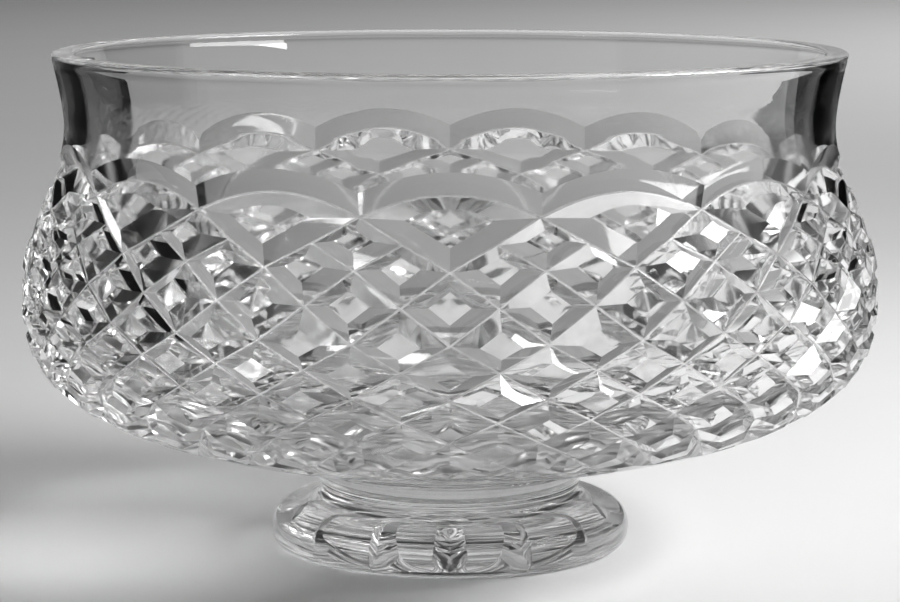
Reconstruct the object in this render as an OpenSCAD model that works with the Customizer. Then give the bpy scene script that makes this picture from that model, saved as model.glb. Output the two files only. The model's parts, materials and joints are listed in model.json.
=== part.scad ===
// Footed glass trifle bowl with a plain flared neck, a band of arches and a diamond-cut body.
// The origin is the middle of the resting ring, +Z is up and all lengths are in millimetres.

/* [Bowl shape] */
// Width across the belly, over the flat tops of the diamonds
belly_d = 231; // [225:1:240]
// Width across the narrowest part of the neck
neck_d = 207; // [200:1:211]
// Width across the outside of the lip
rim_d = 214; // [212:1:220]
// Height of the bowl from its seat on the collar to the lip
bowl_h = 113; // [108:1:120]
// Height of the belly above the seat
belly_h = 51; // [48:1:54]
// Height of the narrowest part of the neck above the seat
neck_h = 94; // [91:1:98]
// Gap between the seat and the lowest point of the body curve
under_gap = 0.5; // [0.3:0.1:1]

/* [Bowl wall] */
// Thickness of the glass at the neck and lip
neck_wall = 6; // [5:0.5:7]
// Thickness of the glass at the belly, before cutting
belly_wall = 9; // [8:0.5:10]
// Thickness of the glass in the middle of the bottom
floor_t = 12; // [10:0.5:14]
// Rounding of both edges of the lip
lip_round = 1.25; // [1:0.25:2.25]

/* [Cutting] */
// Number of arches round the bowl
arches = 15; // [12:1:18]
// Depth of the V-shaped grooves
groove_depth = 3; // [2:0.25:3.5]
// Height of the feet of the arches above the seat
cut_top = 80; // [78:0.5:82]
// Height above the seat at which the grooves run out under the body
cut_bottom = 13; // [12:0.5:14]
// Rise of each arch from its feet to its crown
arch_rise = 5; // [4:0.25:6]
// Height of the sloping cut above the line of each arch
arch_flank = 5; // [4:0.25:6]
// Height of the sloping cut below the crown of each arch
crown_flank = 3.5; // [3:0.25:4]

/* [Collar] */
// Width of the flat seats between bowl, collar and foot
seat_d = 70; // [64:1:76]
// Height of the collar
collar_h = 5.5; // [4.5:0.25:7]
// Bulge of the collar's round bead beyond the seats
bead_bulge = 0.9; // [0.5:0.1:1.2]
// Height of the straight edge of the bowl's pad above the seat
pad_edge = 0.6; // [0.4:0.1:0.8]

/* [Foot] */
// Width of the foot
foot_d = 98; // [97:1:104]
// Height of the foot up to the collar
foot_h = 16.5; // [15.5:0.5:18]
// Height of the widest line of the foot
side_h = 5; // [4:0.5:6]
// Height of the top of the dome
dome_h = 12.5; // [11.5:0.25:13.5]
// Spread of the hollow curve from the collar out on to the dome
sweep_w = 4.5; // [3.5:0.25:6]
// How far the rounded side tucks in below the widest line
side_tuck = 3; // [2:0.25:3.5]
// Width of the flat ring that the foot rests on
rest_ring_w = 5; // [4:0.5:5.5]
// Depth of the recess inside the resting ring
recess_depth = 2.2; // [1:0.1:2.5]

/* [Star cut] */
// Number of rays in the star under the foot
star_rays = 12; // [8:1:20]
// Radius of the tips of the rays
star_tip_r = 38; // [36:0.5:38]
// Radius at which the ridges between rays reach the surface
star_ridge_r = 21; // [18:0.5:24]
// Radius at which the rays are deepest
star_deep_r = 21; // [18:0.5:24]
// Depth of the rays
star_depth = 2; // [1.5:0.25:3]
// Depth of the star in its middle
star_mid_depth = 0.8; // [0.5:0.1:1.2]

/* [Hidden] */

belly_r = belly_d / 2;
neck_r = neck_d / 2;
rim_r = rim_d / 2;
seat_r = seat_d / 2;
foot_r = foot_d / 2;
seat_z = foot_h + collar_h;

// How far cutters run past the faces that they open
overrun = 2;

// Roundness of the body under the belly, sideways and downwards
under_r_share = 1.136;
under_z_share = 0.621;
// Roundness of the flare from the neck to the lip
flare_share = 1.5;
// Roundness of the dome of the foot
dome_share = 0.92;
// Size of the flat top of a diamond against the whole diamond
flat_share = 0.42;
// Half width of the flat below an arch against half the arch
arch_flat_share = 0.475;
// Place of the arch flat's ends and lower corner between the arch feet and the diamond below
arch_end_share = 0.09;
arch_point_share = 0.6;
// Levels of the groove crossings, from the feet of the arches down to the run-out
row_shares = [0, 0.09, 0.18, 0.31, 0.45, 0.55, 0.66, 0.76, 0.86, 0.95, 1];

// Steps round one arch, and round the whole bowl
arch_steps = 8;
ring_steps = arch_steps * arches;
// Diamonds round the bowl, and the turn from one to the next
diamonds = 2 * arches;
pitch = 360 / diamonds;
last_row = len(row_shares) - 1;
// Steps along the curved stretches of an outline
curve_steps = 16;
neck_steps = 5;
base_steps = 6;
lip_steps = 3;

// Body radius at a height above the seat, from a width and depth at the belly and a width at the neck
function under_r(h, wide, drop) =
    wide * pow(max(0, 1 - pow((belly_h - h) / drop, 2 / under_z_share)), under_r_share / 2);
function shoulder_r(h, wide, narrow) =
    narrow + (wide - narrow) * (1 + cos(180 * (h - belly_h) / (neck_h - belly_h))) / 2;
function flare_r(h, narrow) =
    narrow + (rim_r - neck_r) * pow((h - neck_h) / (bowl_h - neck_h), flare_share);
function body_r(h, wide, narrow, drop) =
    h < belly_h ? under_r(h, wide, drop) : h < neck_h ? shoulder_r(h, wide, narrow) : flare_r(h, narrow);
function outer_r(h) = body_r(h, belly_r, neck_r, belly_h - under_gap);
function inner_r(h) = body_r(h, belly_r - belly_wall, neck_r - neck_wall, belly_h - floor_t);

// Point at a turn from the front and a height above the seat, sunk below the uncut surface
probe = groove_depth / 100;
function slope(h) = (outer_r(h + probe) - outer_r(h - probe)) / (2 * probe);
function polar(turn, r, h) = [r * sin(turn), -r * cos(turn), seat_z + h];
function sunk(turn, h, depth) =
    let (tilt = slope(h), reach = sqrt(1 + tilt * tilt))
    polar(turn, outer_r(h) - depth / reach, h + depth * tilt / reach);
function row_h(row) = cut_top - (cut_top - cut_bottom) * row_shares[row];
function mix(a, b, share) = a + (b - a) * share;

// Turn of a groove crossing: odd rows lie half a diamond round from even ones
function node_turn(row, j) = pitch * (j + (row % 2) / 2);
// Turn of the middle of a diamond that is centred on a row
function cell_turn(row, j) = pitch * (j + ((row + 1) % 2) / 2);
function step_turn(i) = 360 * i / ring_steps;

// Line of an arch, at a share across it from -1 to 1
function arch_h(across) = cut_top + arch_rise * (1 - across * across);
function arch_across(i) = 2 * ((i + arch_steps / 2) % arch_steps) / arch_steps - 1;
function arch_line_h(i) = arch_h(arch_across(i));
// Upper edge of the flat below an arch
function flat_edge_h(across) =
    mix(arch_h(0) - crown_flank, mix(cut_top, row_h(2), arch_end_share), across * across);

// Rings of the plain neck and lip, from just above the arches to the top, as [radius, height]
neck_low = cut_top + arch_rise + arch_flank;
lip_h = bowl_h - lip_round;
function neck_ring(k) = let (h = mix(neck_low, lip_h, k / neck_steps)) [outer_r(h), h];
neck_rings = [for (k = [1 : neck_steps]) neck_ring(k)];
lip_r = outer_r(lip_h);
lip_rings = [for (k = [1 : lip_steps]) let (a = 90 * k / lip_steps)
    [lip_r - lip_round * (1 - cos(a)), lip_h + lip_round * sin(a)]];
// Rings of the plain base, from the run-out in to the pad and down to the seat
pad_h = under_gap + pad_edge;
pad_join_h = under_gap + (cut_bottom - under_gap) / base_steps;
base_rings = [for (k = [1 : base_steps - 1])
    let (h = mix(cut_bottom, pad_join_h, k / (base_steps - 1))) [outer_r(h), h]];
pad_rings = [[seat_r, pad_h], [seat_r, 0]];

// Points of the cut outside, and the place of each group in the list
groove_points = [for (row = [1 : last_row - 1]) for (j = [0 : diamonds - 1])
    sunk(node_turn(row, j), row_h(row), groove_depth)];
arch_points = [for (i = [0 : ring_steps - 1]) sunk(step_turn(i), arch_line_h(i), groove_depth)];
edge_points = [for (i = [0 : ring_steps - 1]) sunk(step_turn(i), arch_line_h(i) + arch_flank, 0)];
arch_flat_points = [for (m = [0 : arches - 1]) for (i = [0 : arch_steps])
    let (across = 2 * i / arch_steps - 1)
    sunk(2 * pitch * m + pitch * arch_flat_share * across, flat_edge_h(across), 0)];
arch_tip_points = [for (m = [0 : arches - 1])
    sunk(2 * pitch * m, mix(cut_top, row_h(2), arch_point_share), 0)];
// Top, right, bottom and left corners of the flat top of each diamond
function cell_corners(row, j) = let (turn = cell_turn(row, j), h = row_h(row), w = flat_share * pitch / 2) [
    sunk(turn, mix(h, row_h(row - 1), flat_share), 0), sunk(turn + w, h, 0),
    sunk(turn, mix(h, row_h(row + 1), flat_share), 0), sunk(turn - w, h, 0)];
cell_points = [for (row = [1 : last_row - 1]) for (j = [0 : diamonds - 1]) each cell_corners(row, j)];
end_points = [for (j = [0 : diamonds - 1])
    sunk(cell_turn(last_row, j), mix(row_h(last_row), row_h(last_row - 1), flat_share), 0)];
foot_ring = [for (i = [0 : ring_steps - 1]) sunk(step_turn(i), cut_bottom, 0)];
function ring_points(rings) = [for (ring = rings) for (i = [0 : ring_steps - 1])
    polar(step_turn(i), ring[0], ring[1])];
pole_points = [polar(0, 0, bowl_h), polar(0, 0, 0)];

at_arch = len(groove_points);
at_edge = at_arch + ring_steps;
at_arch_flat = at_edge + ring_steps;
at_arch_tip = at_arch_flat + len(arch_flat_points);
at_cell = at_arch_tip + arches;
at_end = at_cell + len(cell_points);
at_foot_ring = at_end + diamonds;
at_neck = at_foot_ring + ring_steps;
at_lip = at_neck + ring_steps * neck_steps;
at_base = at_lip + ring_steps * lip_steps;
at_pad = at_base + ring_steps * len(base_rings);
at_pole = at_pad + ring_steps * len(pad_rings);

bowl_points = concat(groove_points, arch_points, edge_points, arch_flat_points, arch_tip_points,
    cell_points, end_points, foot_ring, ring_points(neck_rings), ring_points(lip_rings),
    ring_points(base_rings), ring_points(pad_rings), pole_points);

// Number of a groove crossing: the top row lies on the arches, the last on the plain base
function wrap(i) = (i + ring_steps) % ring_steps;
function crossing(row, j) =
    row == 0 ? at_arch + wrap(arch_steps * j / 2) :
    row == last_row ? at_foot_ring + wrap(arch_steps * j / 2) :
    (row - 1) * diamonds + (j + diamonds) % diamonds;
// Crossings at the corners of a diamond: top, right, bottom, left
function corners(row, j) = let (odd = row % 2)
    [crossing(row - 1, j), crossing(row, odd ? j : j + 1), crossing(row + 1, j),
     crossing(row, odd ? j - 1 : j)];
function quad(a, b, c, d) = [[a, b, c], [a, c, d]];

// Four sloping sides and the flat top of a diamond
function cell_faces(row, j) =
    let (out = corners(row, j), top = at_cell + ((row - 1) * diamonds + j) * 4)
    concat([for (k = [0 : 3]) each quad(out[k], out[(k + 1) % 4], top + (k + 1) % 4, top + k)],
        [[top, top + 1, top + 2], [top, top + 2, top + 3]]);
function is_cell(row, j) = row > 1 || j % 2 == 1;
// Half diamond where two grooves run out on to the plain base
function end_faces(j) =
    let (top = crossing(last_row - 1, j), tip = at_end + j, first = arch_steps * j / 2)
    concat([[top, tip, at_foot_ring + wrap(first)],
            [top, at_foot_ring + wrap(first + arch_steps / 2), tip]],
        [for (i = [first : first + arch_steps / 2 - 1])
            [tip, at_foot_ring + wrap(i + 1), at_foot_ring + wrap(i)]]);
// Cut slopes above and below one arch, its flat, and the slopes down to the diamonds
function arch_faces(m) =
    let (first = arch_steps * m - arch_steps / 2, flat = at_arch_flat + m * (arch_steps + 1),
         tip = at_arch_tip + m, low = crossing(2, 2 * m),
         left = [at_arch + wrap(first), crossing(1, 2 * m - 1), flat],
         right = [at_arch + wrap(first + arch_steps), crossing(1, 2 * m), flat + arch_steps])
    concat(
        [for (i = [0 : arch_steps - 1]) let (a = wrap(first + i), b = wrap(first + i + 1))
            each concat(quad(at_edge + a, at_edge + b, at_arch + b, at_arch + a),
                quad(at_arch + a, at_arch + b, flat + i + 1, flat + i), [[flat + i, flat + i + 1, tip]])],
        [[left[0], left[2], left[1]], [left[1], left[2], tip], [left[1], tip, low]],
        [[right[0], right[1], right[2]], [right[1], tip, right[2]], [right[1], low, tip]]);
// Band between two rings, the first one above the second
function band(upper, lower) = [for (i = [0 : ring_steps - 1]) let (k = wrap(i + 1))
    each quad(upper + i, upper + k, lower + k, lower + i)];
function bands(first, count) =
    [for (k = [1 : 1 : count - 1]) each band(first + k * ring_steps, first + (k - 1) * ring_steps)];
function bands_down(first, count) =
    [for (k = [1 : 1 : count - 1]) each band(first + (k - 1) * ring_steps, first + k * ring_steps)];

bowl_faces = concat(
    [for (row = [1 : last_row - 1]) for (j = [0 : diamonds - 1]) if (is_cell(row, j)) each cell_faces(row, j)],
    [for (j = [0 : diamonds - 1]) each end_faces(j)],
    [for (m = [0 : arches - 1]) each arch_faces(m)],
    band(at_neck, at_edge),
    bands(at_neck, neck_steps + lip_steps),
    band(at_foot_ring, at_base),
    bands_down(at_base, len(base_rings) + len(pad_rings)),
    [for (i = [0 : ring_steps - 1]) let (k = wrap(i + 1), top = at_base - ring_steps)
        each [[at_pole, top + k, top + i], [at_pole + 1, at_pole - ring_steps + i, at_pole - ring_steps + k]]]);

// Hollow of the bowl, from the middle of the floor up the wall and out over the lip
inner_lip_r = inner_r(lip_h);
hollow_outline = concat(
    [[0, floor_t]],
    [for (k = [1 : curve_steps]) let (h = mix(floor_t, belly_h, 1 - cos(90 * k / curve_steps)))
        [inner_r(h), h]],
    [for (k = [1 : curve_steps]) let (h = mix(belly_h, lip_h, k / curve_steps)) [inner_r(h), h]],
    [for (k = [1 : lip_steps]) let (a = 90 * k / lip_steps)
        [inner_lip_r + lip_round * (1 - cos(a)), lip_h + lip_round * sin(a)]],
    [[inner_lip_r + lip_round, bowl_h + overrun], [0, bowl_h + overrun]]);

module bowl() {
    color("gainsboro")
    difference() {
        polyhedron(bowl_points, bowl_faces);
        translate([0, 0, seat_z])
            rotate_extrude($fn = ring_steps) polygon(hollow_outline);
    }
}

// Round bead between the two seats
collar_outline = concat(
    [[0, foot_h]],
    [for (k = [0 : curve_steps]) let (a = 180 * k / curve_steps)
        [seat_r + bead_bulge * sin(a), foot_h + collar_h * (1 - cos(a)) / 2]],
    [[0, seat_z]]);

module collar() {
    color("lightgray")
    rotate_extrude($fn = ring_steps) polygon(collar_outline);
}

// Resting ring, rounded side, dome and the hollow sweep up to the collar
rest_r = foot_r - side_tuck;
recess_r = rest_r - rest_ring_w;
dome_r = seat_r + sweep_w;
foot_outline = concat(
    [[0, recess_depth], [recess_r - recess_depth, recess_depth], [recess_r, 0]],
    [for (k = [0 : base_steps]) let (a = 90 * k / base_steps)
        [rest_r + side_tuck * sin(a), side_h * (1 - cos(a))]],
    [for (k = [1 : curve_steps]) let (a = 90 * k / curve_steps)
        [dome_r + (foot_r - dome_r) * pow(cos(a), dome_share),
         side_h + (dome_h - side_h) * pow(sin(a), dome_share)]],
    [for (k = [1 : curve_steps]) let (a = 90 * k / curve_steps)
        [seat_r + sweep_w * (1 - sin(a)), foot_h - (foot_h - dome_h) * cos(a)]],
    [[0, foot_h]]);

// Star of V-shaped rays that meet in the middle of the recess
star_turn = 360 / star_rays;
function star_point(turn, r, depth) = [r * sin(turn), -r * cos(turn), depth];
star_points = concat(
    [for (k = [0 : star_rays - 1]) each [
        star_point(star_turn * k, star_tip_r, recess_depth),
        star_point(star_turn * (k + 1 / 2), star_ridge_r, recess_depth),
        star_point(star_turn * k, star_deep_r, recess_depth + star_depth),
        star_point(star_turn * k, star_tip_r, -overrun),
        star_point(star_turn * (k + 1 / 2), star_ridge_r, -overrun)]],
    [star_point(0, 0, recess_depth + star_mid_depth), star_point(0, 0, -overrun)]);
star_top = 5 * star_rays;
function ray_faces(k) =
    let (a = 5 * k, b = 5 * ((k + 1) % star_rays))
    [[a, a + 2, a + 1], [a + 1, a + 2, star_top], [b, a + 1, b + 2], [b + 2, a + 1, star_top],
     [a, a + 1, a + 4], [a, a + 4, a + 3], [a + 1, b, b + 3], [a + 1, b + 3, a + 4],
     [a + 3, a + 4, star_top + 1], [a + 4, b + 3, star_top + 1]];
star_faces = [for (k = [0 : star_rays - 1]) each ray_faces(k)];

module foot() {
    color("whitesmoke")
    difference() {
        rotate_extrude($fn = ring_steps) polygon(foot_outline);
        polyhedron(star_points, star_faces);
    }
}

bowl();
collar();
foot();
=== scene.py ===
"""Footed trifle bowl in cut crystal: its pieces, their finish and a studio stage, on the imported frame."""

import json
import math

import bmesh
import bpy
from bpy.props import FloatProperty, FloatVectorProperty, IntProperty, PointerProperty
from mathutils import Vector
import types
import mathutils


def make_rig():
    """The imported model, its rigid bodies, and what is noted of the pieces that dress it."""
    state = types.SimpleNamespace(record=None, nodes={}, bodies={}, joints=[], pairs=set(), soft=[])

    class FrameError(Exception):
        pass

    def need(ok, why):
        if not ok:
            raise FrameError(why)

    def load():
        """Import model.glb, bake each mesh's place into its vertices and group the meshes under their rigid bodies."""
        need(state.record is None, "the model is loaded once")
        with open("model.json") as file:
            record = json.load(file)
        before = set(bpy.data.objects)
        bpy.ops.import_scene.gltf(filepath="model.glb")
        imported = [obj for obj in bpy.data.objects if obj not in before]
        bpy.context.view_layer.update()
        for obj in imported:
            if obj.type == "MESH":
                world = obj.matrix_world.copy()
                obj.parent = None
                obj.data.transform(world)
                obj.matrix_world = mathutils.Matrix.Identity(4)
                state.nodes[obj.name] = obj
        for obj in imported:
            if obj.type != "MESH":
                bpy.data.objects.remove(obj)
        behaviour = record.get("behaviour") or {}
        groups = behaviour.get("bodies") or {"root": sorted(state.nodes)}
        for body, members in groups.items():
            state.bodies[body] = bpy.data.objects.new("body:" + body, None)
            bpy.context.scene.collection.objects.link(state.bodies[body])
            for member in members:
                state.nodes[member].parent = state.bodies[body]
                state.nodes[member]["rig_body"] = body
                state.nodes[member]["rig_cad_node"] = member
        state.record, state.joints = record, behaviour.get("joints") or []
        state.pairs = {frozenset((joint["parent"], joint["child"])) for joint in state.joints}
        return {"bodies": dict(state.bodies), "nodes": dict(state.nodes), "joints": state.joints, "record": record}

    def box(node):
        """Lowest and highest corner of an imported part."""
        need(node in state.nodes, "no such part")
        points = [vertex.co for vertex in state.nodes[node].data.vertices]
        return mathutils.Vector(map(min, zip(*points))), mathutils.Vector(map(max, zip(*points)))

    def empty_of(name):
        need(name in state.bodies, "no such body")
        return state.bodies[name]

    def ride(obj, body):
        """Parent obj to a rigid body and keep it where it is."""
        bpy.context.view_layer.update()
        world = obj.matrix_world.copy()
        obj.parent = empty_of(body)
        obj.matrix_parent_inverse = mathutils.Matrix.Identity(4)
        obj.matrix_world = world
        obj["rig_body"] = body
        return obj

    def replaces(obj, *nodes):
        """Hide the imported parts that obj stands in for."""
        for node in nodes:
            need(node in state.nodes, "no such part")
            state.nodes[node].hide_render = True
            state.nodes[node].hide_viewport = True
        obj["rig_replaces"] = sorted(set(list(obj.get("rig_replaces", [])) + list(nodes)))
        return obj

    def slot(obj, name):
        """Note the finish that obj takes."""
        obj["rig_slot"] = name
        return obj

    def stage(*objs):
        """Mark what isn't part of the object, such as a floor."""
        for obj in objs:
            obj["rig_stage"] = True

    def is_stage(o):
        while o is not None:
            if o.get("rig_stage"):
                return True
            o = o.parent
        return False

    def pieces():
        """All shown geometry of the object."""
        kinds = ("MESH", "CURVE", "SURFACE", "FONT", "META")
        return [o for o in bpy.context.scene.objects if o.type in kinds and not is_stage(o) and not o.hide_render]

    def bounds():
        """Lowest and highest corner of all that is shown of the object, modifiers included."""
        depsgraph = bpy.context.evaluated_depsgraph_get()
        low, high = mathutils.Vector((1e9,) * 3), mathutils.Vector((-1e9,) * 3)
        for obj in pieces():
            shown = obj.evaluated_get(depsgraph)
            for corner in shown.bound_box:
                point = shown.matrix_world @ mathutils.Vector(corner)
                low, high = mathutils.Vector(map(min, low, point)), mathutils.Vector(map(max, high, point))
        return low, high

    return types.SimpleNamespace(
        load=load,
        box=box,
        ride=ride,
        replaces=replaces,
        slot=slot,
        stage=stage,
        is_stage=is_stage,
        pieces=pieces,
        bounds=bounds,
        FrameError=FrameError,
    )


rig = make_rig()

bl_info = {
    "name": "Cut crystal trifle bowl",
    "version": (1, 0, 0),
    "blender": (4, 5, 0),
    "location": "3D View > Sidebar > Trifle bowl",
    "description": "Builds a footed, diamond-cut crystal bowl and its studio stage",
    "category": "Object",
}

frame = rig.load()
CAD_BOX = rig.bounds()
FOOT_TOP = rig.box("foot")[1].z
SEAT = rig.box("bowl")[0].z
LIP_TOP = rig.box("bowl")[1].z

# Levels of the groove crossings, from the feet of the arches down to the run-out
ROW_SHARES = (0, 0.09, 0.18, 0.31, 0.45, 0.55, 0.66, 0.76, 0.86, 0.95, 1)
LAST_ROW = len(ROW_SHARES) - 1
# Steps along one side of a diamond, and across the slice of one arch
SIDE_STEPS = 4
ARCH_STEPS = 4 * SIDE_STEPS
# Steps up the neck, round the lip, down the inside wall, on to the middle of the bottom, and under the base
NECK_STEPS, LIP_STEPS, WALL_STEPS, BOTTOM_STEPS, BASE_STEPS = 22, 7, 26, 36, 14
# Steps round the collar's bead, round each curve of the foot, across one ray of the star, and along it
BEAD_STEPS, FOOT_STEPS, RAY_STEPS, STAR_STEPS = 14, 18, 12, 5
# Roundness of the body under the belly sideways and downwards, of the flare, and of the foot's dome
UNDER_OUT, UNDER_DOWN, FLARE, DOME = 1.136, 0.621, 1.5, 0.92
# Rise of the middle of a rounded groove bottom against the rise of its edges
GROUND_RISE = 0.55
# Width of the small hollow between the underside and the pad
PAD_HOLLOW = 0.0016
# Places along the curve of that hollow
FILLET_SHARES = (0.35, 0.7, 1)
# Facets that run on smoothly from one slice to the next
SMOOTH_FACETS = {"polish", "inside", "ground", "fused"}


def length(name, description, default):
    """A length in metres that a user may change."""
    return FloatProperty(name=name, description=description, default=default, min=0, unit="LENGTH",
                         precision=4)


def share(name, description, default, most=1):
    """A plain ratio that a user may change."""
    return FloatProperty(name=name, description=description, default=default, min=0, max=most)


def grey(name, description, level):
    """A neutral colour that a user may change."""
    return FloatVectorProperty(name=name, description=description, subtype="COLOR", min=0, max=1,
                               default=(level, level, level))


def power(name, description, default):
    """A lamp's power that a user may change."""
    return FloatProperty(name=name, description=description, default=default, min=0, subtype="POWER",
                         unit="POWER")


class BowlSizes(bpy.types.PropertyGroup):
    """Outline and wall of the bowl."""

    belly_d: length("Belly width", "Width over the flat tops of the diamonds", 0.231)
    neck_d: length("Neck width", "Width of the narrowest part of the neck", 0.207)
    rim_d: length("Lip width", "Width over the outside of the lip", 0.214)
    bowl_h: length("Bowl height", "Height from the seat to the lip", LIP_TOP - SEAT)
    belly_h: length("Belly height", "Height of the belly above the seat", 0.051)
    neck_h: length("Neck height", "Height of the narrowest part of the neck above the seat", 0.094)
    under_gap: length("Under gap", "Gap between the seat and the lowest point of the body curve", 0.0005)
    neck_wall: length("Neck wall", "Thickness of the glass at the neck and lip", 0.006)
    belly_wall: length("Belly wall", "Thickness of the glass at the belly before cutting", 0.009)
    floor_t: length("Bottom thickness", "Thickness of the glass in the middle of the bottom", 0.012)
    lip_round: length("Lip rounding", "Rounding of both edges of the lip", 0.00125)
    pad_edge: length("Pad edge", "Height of the straight edge of the pad above the seat", 0.0006)


class CutSizes(bpy.types.PropertyGroup):
    """Arches and diamonds cut into the body."""

    arches: IntProperty(name="Arches", description="Number of arches round the bowl", default=15,
                        min=6, max=24)
    depth: length("Groove depth", "Depth of the V-shaped grooves", 0.003)
    top: length("Arch feet", "Height of the feet of the arches above the seat", 0.080)
    bottom: length("Run-out", "Height at which the grooves run out under the body", 0.013)
    arch_rise: length("Arch rise", "Rise of each arch from its feet to its crown", 0.005)
    arch_flank: length("Arch flank", "Height of the sloping cut above an arch", 0.005)
    crown_flank: length("Crown flank", "Height of the sloping cut below the crown of an arch", 0.0035)
    flat: share("Diamond flat", "Size of the flat top of a diamond against the whole diamond", 0.42)
    arch_flat: share("Arch flat", "Half width of the flat below an arch against half the arch", 0.475)
    arch_end: share("Arch flat end", "Drop of the arch flat's ends towards the diamond below", 0.09)
    arch_point: share("Arch flat point", "Drop of the arch flat's point towards the diamond below", 0.6)
    ground: share("Ground line", "Width of the narrow groove bottom against the side of a diamond", 0.07)


class FootSizes(bpy.types.PropertyGroup):
    """Collar, foot and the star under it."""

    seat_d: length("Seat width", "Width of the flat seats between bowl, collar and foot", 0.070)
    bead_bulge: length("Bead bulge", "Bulge of the collar's round bead beyond the seats", 0.0009)
    foot_d: length("Foot width", "Width of the foot", 0.098)
    side_h: length("Side height", "Height of the widest line of the foot", 0.005)
    dome_h: length("Dome height", "Height of the top of the dome", 0.0125)
    sweep_w: length("Sweep", "Spread of the hollow curve from the collar on to the dome", 0.0045)
    side_tuck: length("Side tuck", "How far the rounded side tucks in below the widest line", 0.003)
    rest_ring_w: length("Resting ring", "Width of the flat ring that the foot rests on", 0.005)
    recess_depth: length("Recess", "Depth of the recess inside the resting ring", 0.0022)
    star_rays: IntProperty(name="Star rays", description="Number of rays under the foot", default=12,
                           min=8, max=40)
    star_tip_r: length("Ray tips", "Radius of the tips of the rays", 0.038)
    star_ridge_r: length("Ray ridges", "Radius at which the ridges between rays reach the surface", 0.021)
    star_deep_r: length("Ray deeps", "Radius at which the rays are deepest", 0.021)
    star_depth: length("Ray depth", "Depth of the rays", 0.002)
    star_mid_depth: length("Middle depth", "Depth of the star in its middle", 0.0008)


class CrystalLook(bpy.types.PropertyGroup):
    """Finish of the glass."""

    tint: grey("Crystal", "Colour of the glass", 1.0)
    cloud: grey("Crystal cloud", "Colour of its faint clouding", 0.985)
    ior: FloatProperty(name="Refraction", description="Refractive index of the glass", default=1.545,
                       min=1, max=2)
    ground: share("Ground roughness", "Roughness of the groove bottoms, which polish reaches least", 0.22)
    inside: share("Inside roughness", "Roughness of the inside below the neck, where spoons reach", 0.05)
    scuff: share("Scuffing", "Roughness of the worn resting ring", 0.3)
    ripple: length("Ripple", "Height of the faint ripples in the polished surface", 0.00001)


class StageLook(bpy.types.PropertyGroup):
    """Floor, surround and lamps."""

    floor: grey("Floor", "Colour of the floor", 0.82)
    surround: grey("Surround", "Colour of the studio beyond the floor", 0.34)
    overhead: grey("Overhead", "Colour of the dark studio above", 0.03)
    # Painted light: the surround is painted lighter on the right, on the side of the key lamp
    painted_light_lean: share("Lean", "How much lighter the surround is on the right than on the left", 0.25)
    depth: share("Depth", "How much lighter the surround is in front than behind", 0.05)
    card: grey("Dark card", "Colour of the dark cards that stand outside the picture", 0.004)
    key: power("Key lamp", "Power of the large lamp on the right", 2.4)
    back: power("Back lamp", "Power of the lamp on the floor behind, which the glass doesn't show", 150)
    pool: power("Pool lamp", "Power of the lamp that makes the light patch beside the foot", 0.014)
    fill: share("Fill", "Strength of the even light on the floor", 0.055, 10)


class TrifleSettings(bpy.types.PropertyGroup):
    """All the sizes and colours of the bowl and its stage."""

    bowl: PointerProperty(type=BowlSizes)
    cut: PointerProperty(type=CutSizes)
    foot: PointerProperty(type=FootSizes)
    crystal: PointerProperty(type=CrystalLook)
    stage: PointerProperty(type=StageLook)


class Wire:
    """One output of a node: arithmetic on it adds Math nodes."""

    def __init__(self, board, socket):
        self.board, self.socket = board, socket

    def maths(self, operation, *values):
        """Adds one Math node to the tree."""
        return self.board.node("ShaderNodeMath", {"operation": operation}, dict(enumerate(values)))

    def __add__(self, other):
        return self.maths("ADD", self, other)

    def __sub__(self, other):
        return self.maths("SUBTRACT", self, other)

    def __rsub__(self, other):
        return self.maths("SUBTRACT", other, self)

    def __mul__(self, other):
        return self.maths("MULTIPLY", self, other)

    def __lt__(self, other):
        return self.maths("LESS_THAN", self, other)

    def __gt__(self, other):
        return self.maths("GREATER_THAN", self, other)

    __radd__, __rmul__ = __add__, __mul__


class Board:
    """Node tree of one finish or of the surround."""

    def __init__(self, owner):
        owner.use_nodes = True
        self.tree = owner.node_tree
        self.tree.nodes.clear()

    def node(self, kind, settings, sockets, out=0):
        """Adds a node, sets it up, fills or links its sockets and returns one of its outputs."""
        made = self.tree.nodes.new(kind)
        for name, value in settings.items():
            setattr(made, name, value)
        for name, value in sockets.items():
            if isinstance(value, Wire):
                self.tree.links.new(value.socket, made.inputs[name])
            else:
                made.inputs[name].default_value = value
        return Wire(self, made.outputs[out]) if made.outputs else None

    def range(self, value, low, high, start=0.0, end=1.0):
        """Smooth step of a value from one range to another."""
        return self.node("ShaderNodeMapRange", {"interpolation_type": "SMOOTHSTEP"}, {
            "Value": value, "From Min": low, "From Max": high, "To Min": start, "To Max": end})

    def blend(self, factor, a, b):
        """Mixes two colours, which are sockets 6 and 7 and output 2 of a Mix node."""
        return self.node("ShaderNodeMix", {"data_type": "RGBA"}, {
            "Factor": factor, 6: a, 7: b}, out=2)


def full(colour):
    """A colour with its alpha."""
    return (*colour, 1.0)


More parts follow.
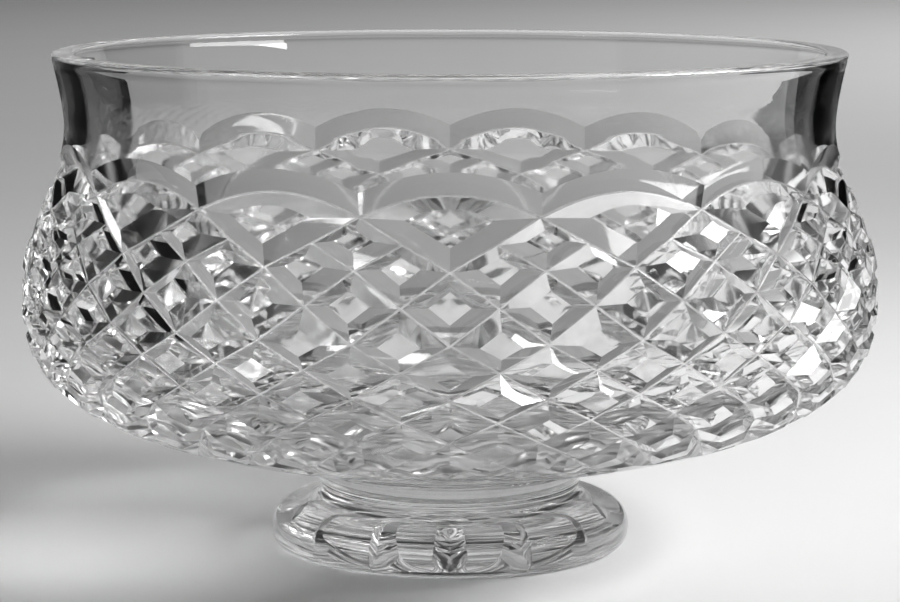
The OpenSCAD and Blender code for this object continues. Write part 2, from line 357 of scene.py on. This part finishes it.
def cut_crystal(look):
    """Clear polished lead glass, a little dull inside and in the grooves, scuffed where the foot rests."""
    material = bpy.data.materials.new("cut_crystal")
    board = Board(material)
    place = board.node("ShaderNodeTexCoord", {}, {}, out="Object")
    height = board.node("ShaderNodeSeparateXYZ", {}, {"Vector": place}, out="Z")
    cloud = board.node("ShaderNodeTexNoise", {}, {"Vector": place, "Scale": 28.0, "Detail": 3.0})
    grain = board.node("ShaderNodeTexNoise", {}, {"Vector": place, "Scale": 2600.0, "Detail": 2.0})
    scratches = board.node("ShaderNodeTexVoronoi", {"feature": "DISTANCE_TO_EDGE"}, {
        "Vector": place, "Scale": 700.0, "Randomness": 1.0})
    ground, inside = (board.node("ShaderNodeAttribute", {"attribute_name": name}, {}, out="Fac")
                      for name in ("ground", "inside"))
    # Top of the worn resting ring, and the heights between which the inside goes from clean to worn
    rest_h, clean_h, served_h = 0.0004, 0.121, 0.113
    worn = (height < rest_h) * board.range(scratches, 0.0, 0.12, 1.0, 0.25)
    served = inside * board.range(height, clean_h, served_h)
    roughness = (cloud * 0.008 + ground * (grain * 0.5 + 0.75) * look.ground + served * look.inside
                 + worn * look.scuff)
    ripples = board.node("ShaderNodeTexNoise", {}, {"Vector": place, "Scale": 45.0, "Detail": 1.0})
    normal = board.node("ShaderNodeBump", {}, {"Strength": 1.0, "Distance": look.ripple, "Height": ripples})
    glass = board.node("ShaderNodeBsdfPrincipled", {}, {
        "Base Color": board.blend(board.range(cloud, 0.35, 0.7), full(look.tint), full(look.cloud)),
        "Roughness": roughness, "Normal": normal, "IOR": look.ior, "Transmission Weight": 1.0})
    board.node("ShaderNodeOutputMaterial", {}, {"Surface": glass})
    return material


def fused_joint():
    """The unseen place where two pieces were joined hot and the glass runs through."""
    material = bpy.data.materials.new("fused_joint")
    board = Board(material)
    clear = board.node("ShaderNodeBsdfTransparent", {}, {"Color": (1, 1, 1, 1)})
    board.node("ShaderNodeOutputMaterial", {}, {"Surface": clear})
    return material


def finish_named(name, make):
    """A finish that is made once and then shared."""
    return bpy.data.materials.get(name) or make()


def mix(a, b, part):
    """Value that lies a part of the way from a to b."""
    return a + (b - a) * part


def span(start, end, steps):
    """Even steps from start to end, both included."""
    return [mix(start, end, i / steps) for i in range(steps + 1)]


def between(a, b, steps=SIDE_STEPS):
    """Even steps from one place on the body to another, each a turn and a height."""
    return list(zip(span(a[0], b[0], steps), span(a[1], b[1], steps)))


def polar(turn, r, z):
    """Point at a turn in degrees from the front."""
    return Vector((r * math.sin(math.radians(turn)), -r * math.cos(math.radians(turn)), z))


class Slice:
    """One slice of a piece. Each face belongs to a facet, and an edge is sharp where two facets meet."""

    def __init__(self):
        self.points, self.places, self.faces, self.facets = [], {}, [], []

    def point(self, co):
        """Number of a point. Points that fall together share one."""
        key = tuple(round(x * 1e6) for x in co)
        if key not in self.places:
            self.places[key] = len(self.points)
            self.points.append(co)
        return self.places[key]

    def face(self, facet, *corners):
        """Adds a face, unless its corners fall together."""
        ring = list(dict.fromkeys(self.point(c) for c in corners))
        if len(ring) > 2:
            self.faces.append(ring)
            self.facets.append(facet)

    def grid(self, facet, *rows):
        """Quads between rows of points, narrowing to triangles where points fall together."""
        for low, high in zip(rows, rows[1:]):
            for i in range(len(low) - 1):
                self.face(facet, low[i], low[i + 1], high[i + 1], high[i])

    def flank(self, facet, groove, edge, ground):
        """Sloping side from a groove up to an edge, with its half of the narrow groove bottom."""
        foot = [deep.lerp(top, ground) for (deep, _), top in zip(groove, edge)]
        self.grid("ground", [bottom for _, bottom in groove], foot)
        self.grid(facet, foot, edge)

    @staticmethod
    def is_sharp(facets):
        """Sharp where two facets meet, and at the side of a slice unless the facet runs on there."""
        return len(set(facets)) > 1 or (len(facets) == 1 and facets[0] not in SMOOTH_FACETS)

    def mesh(self, name):
        """Mesh of the slice, with its sharp edges and the marks of its finishes."""
        made = bpy.data.meshes.new(name)
        made.from_pydata(self.points, [], self.faces, shade_flat=False)
        beside = {}
        for polygon, facet in zip(made.polygons, self.facets):
            for key in polygon.edge_keys:
                beside.setdefault(key, []).append("polish" if facet == "inside" else facet)
        sharp = [self.is_sharp(beside[edge.key]) for edge in made.edges]
        made.attributes.new("sharp_edge", "BOOLEAN", "EDGE").data.foreach_set("value", sharp)
        fused = [facet == "fused" for facet in self.facets]
        made.attributes.new("fused", "BOOLEAN", "FACE").data.foreach_set("value", fused)
        for finish in ("ground", "inside"):
            worked = [float(facet == finish) for facet in self.facets]
            made.attributes.new(finish, "FLOAT", "FACE").data.foreach_set("value", worked)
        return made


def turned_repeat():
    """Geometry Nodes tree that carries a slice round the axis and closes its seams."""
    tree = bpy.data.node_groups.get("Turned repeat")
    if tree:
        return tree
    tree = bpy.data.node_groups.new("Turned repeat", "GeometryNodeTree")
    for name, kind, side in (("Geometry", "NodeSocketGeometry", "INPUT"), ("Count", "NodeSocketInt", "INPUT"),
                             ("Seam", "NodeSocketFloat", "INPUT"), ("Glass", "NodeSocketMaterial", "INPUT"),
                             ("Joint", "NodeSocketMaterial", "INPUT"),
                             ("Geometry", "NodeSocketGeometry", "OUTPUT")):
        tree.interface.new_socket(name=name, in_out=side, socket_type=kind)

    def add(kind, links, **settings):
        made = tree.nodes.new(kind)
        for name, value in settings.items():
            setattr(made, name, value)
        for name, value in links.items():
            if isinstance(value, bpy.types.NodeSocket):
                tree.links.new(value, made.inputs[name])
            else:
                made.inputs[name].default_value = value
        return made.outputs

    given = add("NodeGroupInput", {})
    single = add("GeometryNodeGeometryToInstance", {})
    tree.links.new(given["Geometry"], tree.nodes[-1].inputs[0])
    copies = add("GeometryNodeDuplicateElements", {"Geometry": single[0], "Amount": given["Count"]},
                 domain="INSTANCE")
    step = add("ShaderNodeMath", {0: math.tau, 1: given["Count"]}, operation="DIVIDE")
    angle = add("ShaderNodeMath", {0: copies["Duplicate Index"], 1: step[0]}, operation="MULTIPLY")
    rotation = add("FunctionNodeAxisAngleToRotation", {"Axis": (0, 0, 1), "Angle": angle[0]})
    round_axis = add("GeometryNodeRotateInstances", {
        "Instances": copies["Geometry"], "Rotation": rotation[0], "Local Space": False})
    real = add("GeometryNodeRealizeInstances", {"Geometry": round_axis[0]})
    closed = add("GeometryNodeMergeByDistance", {"Geometry": real[0], "Distance": given["Seam"]})
    glass = add("GeometryNodeSetMaterial", {"Geometry": closed[0], "Material": given["Glass"]})
    fused = add("GeometryNodeInputNamedAttribute", {"Name": "fused"}, data_type="BOOLEAN")
    joint = add("GeometryNodeSetMaterial", {
        "Geometry": glass[0], "Selection": fused["Attribute"], "Material": given["Joint"]})
    add("NodeGroupOutput", {"Geometry": joint[0]})
    return tree


def turned_piece(name, node, piece, count, look):
    """Repeats a slice round the axis, and puts the closed piece in the place of its CAD node."""
    glass = finish_named("cut_crystal", lambda: cut_crystal(look))
    joint = finish_named("fused_joint", fused_joint)
    made = bpy.data.objects.new(name, piece.mesh(name))
    made.data.materials.append(glass)
    bpy.context.scene.collection.objects.link(made)
    modifier = made.modifiers.new("Turned repeat", "NODES")
    modifier.node_group = turned_repeat()
    values = {"Count": count, "Seam": 0.000005, "Glass": glass, "Joint": joint}
    for item in modifier.node_group.interface.items_tree:
        if item.in_out == "INPUT" and item.name in values:
            modifier[item.identifier] = values[item.name]
    depsgraph = bpy.context.evaluated_depsgraph_get()
    whole = bpy.data.meshes.new_from_object(made.evaluated_get(depsgraph))
    made.modifiers.clear()
    made.data = whole
    shell = bmesh.new()
    shell.from_mesh(whole)
    bmesh.ops.recalc_face_normals(shell, faces=shell.faces)
    loose = sum(1 for edge in shell.edges if len(edge.link_faces) != 2)
    shell.to_mesh(whole)
    shell.free()
    if loose:
        raise RuntimeError(f"{name} isn't closed: {loose} loose edges")
    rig.ride(made, "root")
    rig.replaces(made, node)
    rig.slot(made, "crystal")


class CutBowl:
    """Shape of the cut bowl: its outline, and the places of its grooves."""

    def __init__(self, bowl, cut, seat_r):
        self.b, self.c, self.seat_r = bowl, cut, seat_r
        self.pitch = 180 / cut.arches
        self.lip_h = bowl.bowl_h - bowl.lip_round
        self.neck_r, self.belly_r, self.rim_r = bowl.neck_d / 2, bowl.belly_d / 2, bowl.rim_d / 2

    def upper_r(self, h, wide, narrow):
        """Radius of the shoulder and flare at a height above the seat."""
        b = self.b
        if h < b.neck_h:
            swing = math.pi * (h - b.belly_h) / (b.neck_h - b.belly_h)
            return narrow + (wide - narrow) * (1 + math.cos(swing)) / 2
        return narrow + (self.rim_r - self.neck_r) * ((h - b.neck_h) / (b.bowl_h - b.neck_h)) ** FLARE

    def outer_r(self, h):
        """Radius of the uncut outside at a height above the seat."""
        b = self.b
        if h < b.belly_h:
            drop = (b.belly_h - h) / (b.belly_h - b.under_gap)
            return self.belly_r * max(0.0, 1 - drop ** (2 / UNDER_DOWN)) ** (UNDER_OUT / 2)
        return self.upper_r(h, self.belly_r, self.neck_r)

    def under_h(self, r):
        """Height of the plain underside at a radius."""
        b = self.b
        rise = (1 - (r / self.belly_r) ** (2 / UNDER_OUT)) ** (UNDER_DOWN / 2)
        return b.belly_h - (b.belly_h - b.under_gap) * rise

    def inner_outline(self):
        """Radius and height from the lip down the inside to the middle of the bottom."""
        b = self.b
        wide, narrow = self.belly_r - b.belly_wall, self.neck_r - b.neck_wall
        wall = [(self.upper_r(h, wide, narrow), h) for h in span(self.lip_h, b.belly_h, WALL_STEPS)]
        drop = b.belly_h - b.floor_t
        crowding = 1.3
        bends = [math.pi / 2 * (i / BOTTOM_STEPS) ** crowding for i in range(1, BOTTOM_STEPS + 1)]
        under = [(wide * max(0.0, math.cos(a)) ** UNDER_OUT, b.belly_h - drop * math.sin(a) ** UNDER_DOWN)
                 for a in bends]
        return wall, under[:-1] + [(0.0, b.floor_t)]

    def sunk(self, turn, h, depth=0.0):
        """Point on the uncut surface, or below it along its normal."""
        probe = 0.00003
        tilt = (self.outer_r(h + probe) - self.outer_r(h - probe)) / (2 * probe)
        reach = math.hypot(1, tilt)
        return polar(turn, self.outer_r(h) - depth / reach, SEAT + h + depth * tilt / reach)

    def row_h(self, row):
        """Height of a row of groove crossings above the seat."""
        return mix(self.c.top, self.c.bottom, ROW_SHARES[row])

    def groove(self, turn, h, depth=None):
        """Deepest point of a groove and its slightly raised, rounded bottom."""
        c = self.c
        depth = c.depth if depth is None else depth
        return self.sunk(turn, h, depth), self.sunk(turn, h, depth * (1 - GROUND_RISE * c.ground))

    def crossing(self, row, turn):
        """Place where two grooves cross, or where they run out in the last row."""
        return self.groove(turn, self.row_h(row), 0.0 if row == LAST_ROW else None)

    @staticmethod
    def along(a, b, steps=SIDE_STEPS):
        """Straight groove between two crossings."""
        return [(a[0].lerp(b[0], i / steps), a[1].lerp(b[1], i / steps)) for i in range(steps + 1)]

    def edge(self, a, b, steps=SIDE_STEPS):
        """Line on the uncut surface between two places, each a turn and a height."""
        return [self.sunk(turn, h) for turn, h in between(a, b, steps)]

    def diamond(self, piece, row, turn):
        """Four sloping sides and the flat top of one diamond."""
        half, flat, h = self.pitch / 2, self.c.flat, self.row_h(row)
        above, below = self.row_h(row - 1), self.row_h(row + 1)
        corners = [self.crossing(row - 1, turn), self.crossing(row, turn + half),
                   self.crossing(row + 1, turn), self.crossing(row, turn - half)]
        top = [(turn, mix(h, above, flat)), (turn + flat * half, h), (turn, mix(h, below, flat)),
               (turn - flat * half, h)]
        for k in range(4):
            n = (k + 1) % 4
            piece.flank((row, turn, k), self.along(corners[k], corners[n]), self.edge(top[k], top[n]),
                        self.c.ground)
        left, right = between(top[0], top[3]), between(top[1], top[2])
        piece.grid((row, turn, "flat"), *[self.edge(a, b) for a, b in zip(left, right)])

    def arch(self, piece):
        """Slopes above and below one arch, its flat, and the slopes down to the diamonds."""
        c, pitch = self.c, self.pitch
        across = span(-1.0, 1.0, ARCH_STEPS)
        line = [(pitch * x, c.top + c.arch_rise * (1 - x * x)) for x in across]
        groove = [self.groove(turn, h) for turn, h in line]
        rim = [self.sunk(turn, h + c.arch_flank) for turn, h in line]
        end_h = mix(c.top, self.row_h(2), c.arch_end)
        crown_h = c.top + c.arch_rise - c.crown_flank
        brow = [(pitch * c.arch_flat * x, mix(crown_h, end_h, x * x)) for x in across]
        tip = (0.0, mix(c.top, self.row_h(2), c.arch_point))
        piece.flank("above", groove, rim, c.ground)
        piece.flank("under", groove, [self.sunk(*p) for p in brow], c.ground)
        half = ARCH_STEPS // 2
        chin = between(brow[0], tip, half) + between(tip, brow[-1], half)[1:]
        low = self.crossing(2, 0.0)
        for side, edge in ((-1, chin[:half + 1]), (1, chin[:half - 1:-1])):
            foot, knee = self.crossing(0, side * pitch), self.crossing(1, side * pitch / 2)
            piece.flank(("side", side), self.along(foot, knee) + self.along(knee, low)[1:],
                        [self.sunk(*p) for p in edge], c.ground)
        piece.grid("arch flat", *zip(*[self.edge(a, b) for a, b in zip(brow, chin)]))
        return rim

    def run_out(self, piece, turn):
        """Half diamond where two grooves run out on to the plain base."""
        half = self.pitch / 2
        top = self.crossing(LAST_ROW - 1, turn)
        tip = (turn, mix(self.c.bottom, self.row_h(LAST_ROW - 1), self.c.flat))
        for side in (-1, 1):
            end = turn + side * half
            piece.flank(("end", turn, side), self.along(top, self.crossing(LAST_ROW, end)),
                        self.edge(tip, (end, self.c.bottom)), self.c.ground)
        left, right = (turn - half, self.c.bottom), (turn + half, self.c.bottom)
        upper = self.edge(left, tip) + self.edge(tip, right)[1:]
        lower = self.edge(left, right, 2 * SIDE_STEPS)
        piece.grid("polish", upper, lower)
        return lower

    def slice(self):
        """Slice of the bowl as wide as one arch, from the arch round the lip and the inside to the seat."""
        b, piece = self.b, Slice()
        turns = span(-self.pitch, self.pitch, ARCH_STEPS)
        half = self.pitch / 2

        def rings(outline):
            return [[polar(turn, r, SEAT + h) for turn in turns] for r, h in outline]

        rim = self.arch(piece)
        self.diamond(piece, 1, self.pitch)
        for row in range(2, LAST_ROW):
            for turn in ((0.0, self.pitch) if row % 2 else (-half, half)):
                self.diamond(piece, row, turn)
        base = self.run_out(piece, -half) + self.run_out(piece, half)[1:]
        arch_top = [p.z - SEAT for p in rim]
        neck = [[self.sunk(turn, mix(low, self.lip_h, k / NECK_STEPS)) for turn, low in zip(turns, arch_top)]
                for k in range(NECK_STEPS + 1)]
        lip_r, round_r = self.outer_r(self.lip_h), b.lip_round
        wall, under = self.inner_outline()
        bends = [math.radians(a) for a in span(0, 90, LIP_STEPS)]
        outside = [(lip_r - round_r * (1 - math.cos(a)), self.lip_h + round_r * math.sin(a)) for a in bends]
        inside = [(wall[0][0] + round_r * (1 - math.cos(a)), self.lip_h + round_r * math.sin(a))
                  for a in bends[::-1]]
        piece.grid("polish", *neck, *rings(outside[1:] + inside))
        piece.grid("inside", *rings(wall + under))
        join_r = self.seat_r + PAD_HOLLOW
        pad_h = b.under_gap + b.pad_edge
        under_rs = span(self.outer_r(self.c.bottom), join_r, BASE_STEPS)
        foot = [(r, self.under_h(r)) for r in under_rs[1:]]
        fillet = [(mix(join_r, self.seat_r, 1 - (1 - t) ** 2), mix(foot[-1][1], pad_h, t * t))
                  for t in FILLET_SHARES]
        piece.grid("polish", base, *rings(foot + fillet + [(self.seat_r, 0.0)]))
        piece.grid("fused", *rings([(self.seat_r, 0.0), (self.seat_r / 2, 0.0), (0.0, 0.0)]))
        return piece


def collar_slice(sizes, turns):
    """Round bead between the two seats."""
    seat_r, piece = sizes.seat_d / 2, Slice()
    bead = [(seat_r + sizes.bead_bulge * math.sin(a), mix(FOOT_TOP, SEAT, (1 - math.cos(a)) / 2))
            for a in span(0, math.pi, BEAD_STEPS)]
    for facet, outline in (("polish", bead), ("fused", [(seat_r, SEAT), (seat_r / 2, SEAT), (0.0, SEAT)]),
                           ("fused", [(seat_r, FOOT_TOP), (seat_r / 2, FOOT_TOP), (0.0, FOOT_TOP)])):
        piece.grid(facet, *[[polar(turn, r, z) for turn in turns] for r, z in outline])
    return piece


class StarFoot:
    """Shape of the foot: a turned dome with a star of rays cut under it."""

    def __init__(self, sizes):
        self.f = sizes
        self.half = 180 / sizes.star_rays
        deep = self.ray_depth(sizes.star_ridge_r)
        self.spread = sizes.star_ridge_r * math.sin(math.radians(self.half)) / deep

    def ray_depth(self, r):
        """Depth of the middle of a ray."""
        f = self.f
        if r < f.star_deep_r:
            return mix(f.star_depth, f.star_mid_depth, ((f.star_deep_r - r) / f.star_deep_r) ** 2)
        return f.star_depth * max(0.0, 1 - ((r - f.star_deep_r) / (f.star_tip_r - f.star_deep_r)) ** 2)

    def star_ring(self, r, steps):
        """One ring of the star across a slice: the ray's V, then the flat beside it."""
        f, half, points = self.f, steps // 2, []
        deep = self.ray_depth(r)
        edge = self.half
        if r > 0:
            edge = min(edge, math.degrees(math.asin(min(1.0, self.spread * deep / r))))
        for i in range(steps + 1):
            part = (i - half) / half
            inside = min(1.0, abs(part) * 2)
            turn = edge * inside + (self.half - edge) * max(0.0, abs(part) * 2 - 1)
            depth = max(0.0, deep - r * math.sin(math.radians(edge * inside)) / self.spread)
            points.append(polar(math.copysign(turn, part), r, f.recess_depth + depth))
        return points

    def slice(self):
        """Slice of the foot as wide as one ray, from the star out over the dome to the seat."""
        f, piece, steps = self.f, Slice(), RAY_STEPS
        turns = span(-self.half, self.half, steps)
        quarter = steps // 4
        radii = (span(0.0, f.star_deep_r, STAR_STEPS) + span(f.star_deep_r, f.star_ridge_r, STAR_STEPS)[1:]
                 + span(f.star_ridge_r, f.star_tip_r, STAR_STEPS)[1:])
        star = [self.star_ring(r, steps) for r in radii]
        for facet, first, last in (("polish", 0, quarter), ("ray left", quarter, 2 * quarter),
                                   ("ray right", 2 * quarter, 3 * quarter), ("polish", 3 * quarter, steps)):
            piece.grid(facet, *[ring[first:last + 1] for ring in star])
        foot_r, seat_r = f.foot_d / 2, f.seat_d / 2
        rest_r = foot_r - f.side_tuck
        recess_r = rest_r - f.rest_ring_w
        dome_r = seat_r + f.sweep_w

        def ring(r, z):
            return [polar(turn, r, z) for turn in turns]

        bends = [math.radians(a) for a in span(0, 90, FOOT_STEPS)]
        side = [(rest_r + f.side_tuck * math.sin(a), f.side_h * (1 - math.cos(a))) for a in bends]
        dome = [(dome_r + (foot_r - dome_r) * max(0.0, math.cos(a)) ** DOME,
                 f.side_h + (f.dome_h - f.side_h) * math.sin(a) ** DOME) for a in bends]
        sweep = [(seat_r + f.sweep_w * (1 - math.sin(a)), FOOT_TOP - (FOOT_TOP - f.dome_h) * math.cos(a))
                 for a in bends[1:]]
        piece.grid("polish", star[-1], ring(recess_r - f.recess_depth, f.recess_depth))
        piece.grid("recess", ring(recess_r - f.recess_depth, f.recess_depth), ring(recess_r, 0.0))
        piece.grid("polish", *[ring(r, 0.0) for r in span(recess_r, rest_r, 2)],
                   *[ring(r, z) for r, z in side[1:] + dome[1:] + sweep])
        piece.grid("fused", ring(seat_r, FOOT_TOP), ring(seat_r / 2, FOOT_TOP), ring(0.0, FOOT_TOP))
        return piece


class TRIFLE_OT_bowl(bpy.types.Operator):
    """Build the cut bowl with its plain flared neck"""

    bl_idname = "trifle.bowl"
    bl_label = "Cut bowl"

    def execute(self, context):
        kit = context.scene.trifle
        shape = CutBowl(kit.bowl, kit.cut, kit.foot.seat_d / 2)
        turned_piece("cut_bowl", "bowl", shape.slice(), kit.cut.arches, kit.crystal)
        return {"FINISHED"}


class TRIFLE_OT_collar(bpy.types.Operator):
    """Build the round bead between bowl and foot"""

    bl_idname = "trifle.collar"
    bl_label = "Collar"

    def execute(self, context):
        kit = context.scene.trifle
        turns = span(-180 / kit.cut.arches, 180 / kit.cut.arches, ARCH_STEPS)
        turned_piece("bead_collar", "collar", collar_slice(kit.foot, turns), kit.cut.arches, kit.crystal)
        return {"FINISHED"}


class TRIFLE_OT_foot(bpy.types.Operator):
    """Build the domed foot with the star cut under it"""

    bl_idname = "trifle.foot"
    bl_label = "Star-cut foot"

    def execute(self, context):
        kit = context.scene.trifle
        turned_piece("star_foot", "foot", StarFoot(kit.foot).slice(), kit.foot.star_rays, kit.crystal)
        return {"FINISHED"}


def stage_mesh(name, points, faces, material):
    """One plain object of the stage."""
    made = bpy.data.meshes.new(name)
    made.from_pydata(points, [], faces)
    made.materials.append(material)
    item = bpy.data.objects.new(name, made)
    bpy.context.scene.collection.objects.link(item)
    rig.stage(item)
    return item


def floor_finish(look):
    """Smooth pale card with a faint mottle, which melts into the surround well away from the bowl."""
    material = bpy.data.materials.new("pale_card")
    board = Board(material)
    place = board.node("ShaderNodeTexCoord", {}, {}, out="Object")
    mottle = board.node("ShaderNodeTexNoise", {}, {"Vector": place, "Scale": 9.0, "Detail": 4.0})
    across = board.node("ShaderNodeSeparateXYZ", {}, {"Vector": place}, out="X")
    back = Wire(board, across.socket.node.outputs["Y"])
    # Where the floor is gone and where it is whole, to the sides, behind and in front
    side, behind, before = (1.6, 0.75), (5.0, 3.7), (-1.2, -0.4)
    near = (board.range(across.maths("ABSOLUTE", across), *side) * board.range(back, *behind)
            * board.range(back, *before))
    pale = full(look.floor)
    dull = full([x * 0.97 for x in look.floor])
    surface = board.node("ShaderNodeBsdfPrincipled", {}, {
        "Base Color": board.blend(mottle, dull, pale), "Roughness": 0.7, "Specular IOR Level": 0.2})
    clear = board.node("ShaderNodeBsdfTransparent", {}, {"Color": (1, 1, 1, 1)})
    melted = board.node("ShaderNodeMixShader", {}, {"Fac": near, 1: clear, 2: surface})
    board.node("ShaderNodeOutputMaterial", {}, {"Surface": melted})
    return material


def dark_finish(look):
    """Matt dark card."""
    material = bpy.data.materials.new("dark_card")
    board = Board(material)
    surface = board.node("ShaderNodeBsdfDiffuse", {}, {"Color": full(look.card), "Roughness": 0.0})
    board.node("ShaderNodeOutputMaterial", {}, {"Surface": surface})
    return material


def standing_card(name, material, near, far, heights):
    """Upright card on the floor, with a height at each end, seen only in the glass."""
    points = [(*near, 0), (*far, 0), (*far, heights[1]), (*near, heights[0])]
    card = stage_mesh(name, points, [(0, 1, 2, 3)], material)
    card.visible_camera = card.visible_diffuse = card.visible_shadow = False


def lamp(name, power, size, bearing, elevation, reach, aim):
    """Soft lamp that looks at a place from a bearing, clockwise from straight behind it."""
    data = bpy.data.lights.new(name, "AREA")
    data.shape, data.size, data.size_y, data.energy = "RECTANGLE", *size, power
    made = bpy.data.objects.new(name, data)
    bpy.context.scene.collection.objects.link(made)
    a, e = math.radians(bearing), math.radians(elevation)
    way = Vector((math.sin(a) * math.cos(e), math.cos(a) * math.cos(e), math.sin(e)))
    made.location = way * reach + Vector(aim)
    made.rotation_euler = (-way).to_track_quat("-Z", "Y").to_euler()
    made.visible_camera = False
    return made


def surround(look):
    """Grey horizon with painted light that makes it lighter on the right, dark overhead, and an even fill for the
    floor.
    """
    world = bpy.data.worlds.new("studio")
    bpy.context.scene.world = world
    board = Board(world)
    rays = board.node("ShaderNodeLightPath", {}, {}, out="Is Camera Ray")
    path = rays.socket.node
    seen = rays.maths("MAXIMUM", rays, Wire(board, path.outputs["Is Glossy Ray"]))
    seen = rays.maths("MAXIMUM", seen, Wire(board, path.outputs["Is Transmission Ray"]))
    way = board.node("ShaderNodeTexCoord", {}, {}, out="Generated")
    right = board.node("ShaderNodeSeparateXYZ", {}, {"Vector": way}, out="X")
    back, up = (Wire(board, right.socket.node.outputs[axis]) for axis in "YZ")
    # Between which slopes the surround darkens upwards, and between which painted light lightens it to the right
    darkening, painted_light_slopes = (0.25, 0.65), (-0.4, 0.4)
    tone = board.blend(board.range(up, *darkening), full(look.surround), full(look.overhead))
    # Painted light: the shown surround is painted brighter to the right, on the side of the key lamp, and a little
    # brighter in front than behind
    painted_light_lean = board.range(right, *painted_light_slopes, 1.0 - look.painted_light_lean, 1.0 + look.painted_light_lean) - back * look.depth
    fill = board.node("ShaderNodeBackground", {}, {"Color": (1, 1, 1, 1), "Strength": look.fill})
    shown = board.node("ShaderNodeBackground", {}, {"Color": tone, "Strength": painted_light_lean})
    both = board.node("ShaderNodeMixShader", {}, {"Fac": seen, 1: fill, 2: shown})
    board.node("ShaderNodeOutputWorld", {}, {"Surface": both})


class TRIFLE_OT_stage(bpy.types.Operator):
    """Set the floor, the surround, the lamps and the camera"""

    bl_idname = "trifle.stage"
    bl_label = "Studio stage"

    def execute(self, context):
        look = context.scene.trifle.stage
        scene = context.scene
        reach, drop = 9.0, -0.0001
        corners = [(-reach, -reach, drop), (reach, -reach, drop), (reach, reach, drop), (-reach, reach, drop)]
        floor = stage_mesh("floor", corners, [(0, 1, 2, 3)], floor_finish(look))
        dark = dark_finish(look)
        standing_card("dark_card_left", dark, near=(-0.3, -0.13), far=(-0.3, 0.58), heights=(0.4, 0.4))
        standing_card("low_card_left", dark, near=(-0.3, 0.58), far=(-0.3, 0.95), heights=(0.1, 0.05))
        standing_card("dark_card_right", dark, near=(0.42, 0.14), far=(0.28, 0.5), heights=(0.42, 0.42))
        standing_card("low_card_right", dark, near=(0.28, 0.5), far=(0.215, 0.76), heights=(0.09, 0.03))
        key = lamp("key_lamp", look.key, size=(0.62, 0.3), bearing=113.5, elevation=38, reach=1.0,
                   aim=(0.1, 0.19, 0))
        key.data.spread = math.radians(78)
        behind = lamp("back_lamp", look.back, size=(0.9, 0.9), bearing=110, elevation=22, reach=3.25,
                      aim=(0.25, 2.6, 0))
        behind.visible_glossy = behind.visible_transmission = False
        pool = lamp("pool_lamp", look.pool, size=(0.03, 0.03), bearing=-90, elevation=80, reach=0.6,
                    aim=(-0.1, -0.028, 0))
        pool.data.spread = math.radians(16)
        lit = bpy.data.collections.new("pool_floor")
        lit.objects.link(floor)
        pool.light_linking.receiver_collection = pool.light_linking.blocker_collection = lit
        surround(look)
        data = bpy.data.cameras.new("camera")
        data.lens, data.sensor_width, data.clip_end = 117.04, 36, 40
        camera = bpy.data.objects.new("camera", data)
        scene.collection.objects.link(camera)
        camera.location = (0, -0.78954, 0.1805)
        downward = 8.22
        camera.rotation_euler = (math.radians(90 - downward), 0, 0)
        scene.camera = camera
        scene.view_settings.view_transform = "Standard"
        scene.cycles.max_bounces = scene.cycles.transmission_bounces = 40
        scene.cycles.glossy_bounces = scene.cycles.transparent_max_bounces = 24
        scene.cycles.blur_glossy = 0.0
        return {"FINISHED"}


class TRIFLE_PT_panel(bpy.types.Panel):
    """Sizes, colours and pieces of the trifle bowl"""

    bl_label = "Trifle bowl"
    bl_idname = "TRIFLE_PT_panel"
    bl_space_type = "VIEW_3D"
    bl_region_type = "UI"
    bl_category = "Trifle bowl"

    def draw(self, context):
        kit = context.scene.trifle
        for operator, group in (("trifle.bowl", kit.bowl), (None, kit.cut), ("trifle.collar", None),
                                ("trifle.foot", kit.foot), (None, kit.crystal), ("trifle.stage", kit.stage)):
            box = self.layout.box()
            for name in group.bl_rna.properties.keys() if group else ():
                if name not in ("rna_type", "name"):
                    box.prop(group, name)
            if operator:
                box.operator(operator)


CLASSES = (BowlSizes, CutSizes, FootSizes, CrystalLook, StageLook, TrifleSettings, TRIFLE_OT_bowl,
           TRIFLE_OT_collar, TRIFLE_OT_foot, TRIFLE_OT_stage, TRIFLE_PT_panel)


def register():
    for made in CLASSES:
        bpy.utils.register_class(made)
    bpy.types.Scene.trifle = PointerProperty(type=TrifleSettings)


def unregister():
    del bpy.types.Scene.trifle
    for made in reversed(CLASSES):
        bpy.utils.unregister_class(made)


def main():
    register()
    bpy.ops.trifle.bowl()
    bpy.ops.trifle.collar()
    bpy.ops.trifle.foot()
    bpy.ops.trifle.stage()
    with open("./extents.json", "w") as out:
        json.dump({"cad": [list(p) for p in CAD_BOX], "visual": [list(p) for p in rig.bounds()]}, out)


if __name__ == "__main__":
    main()
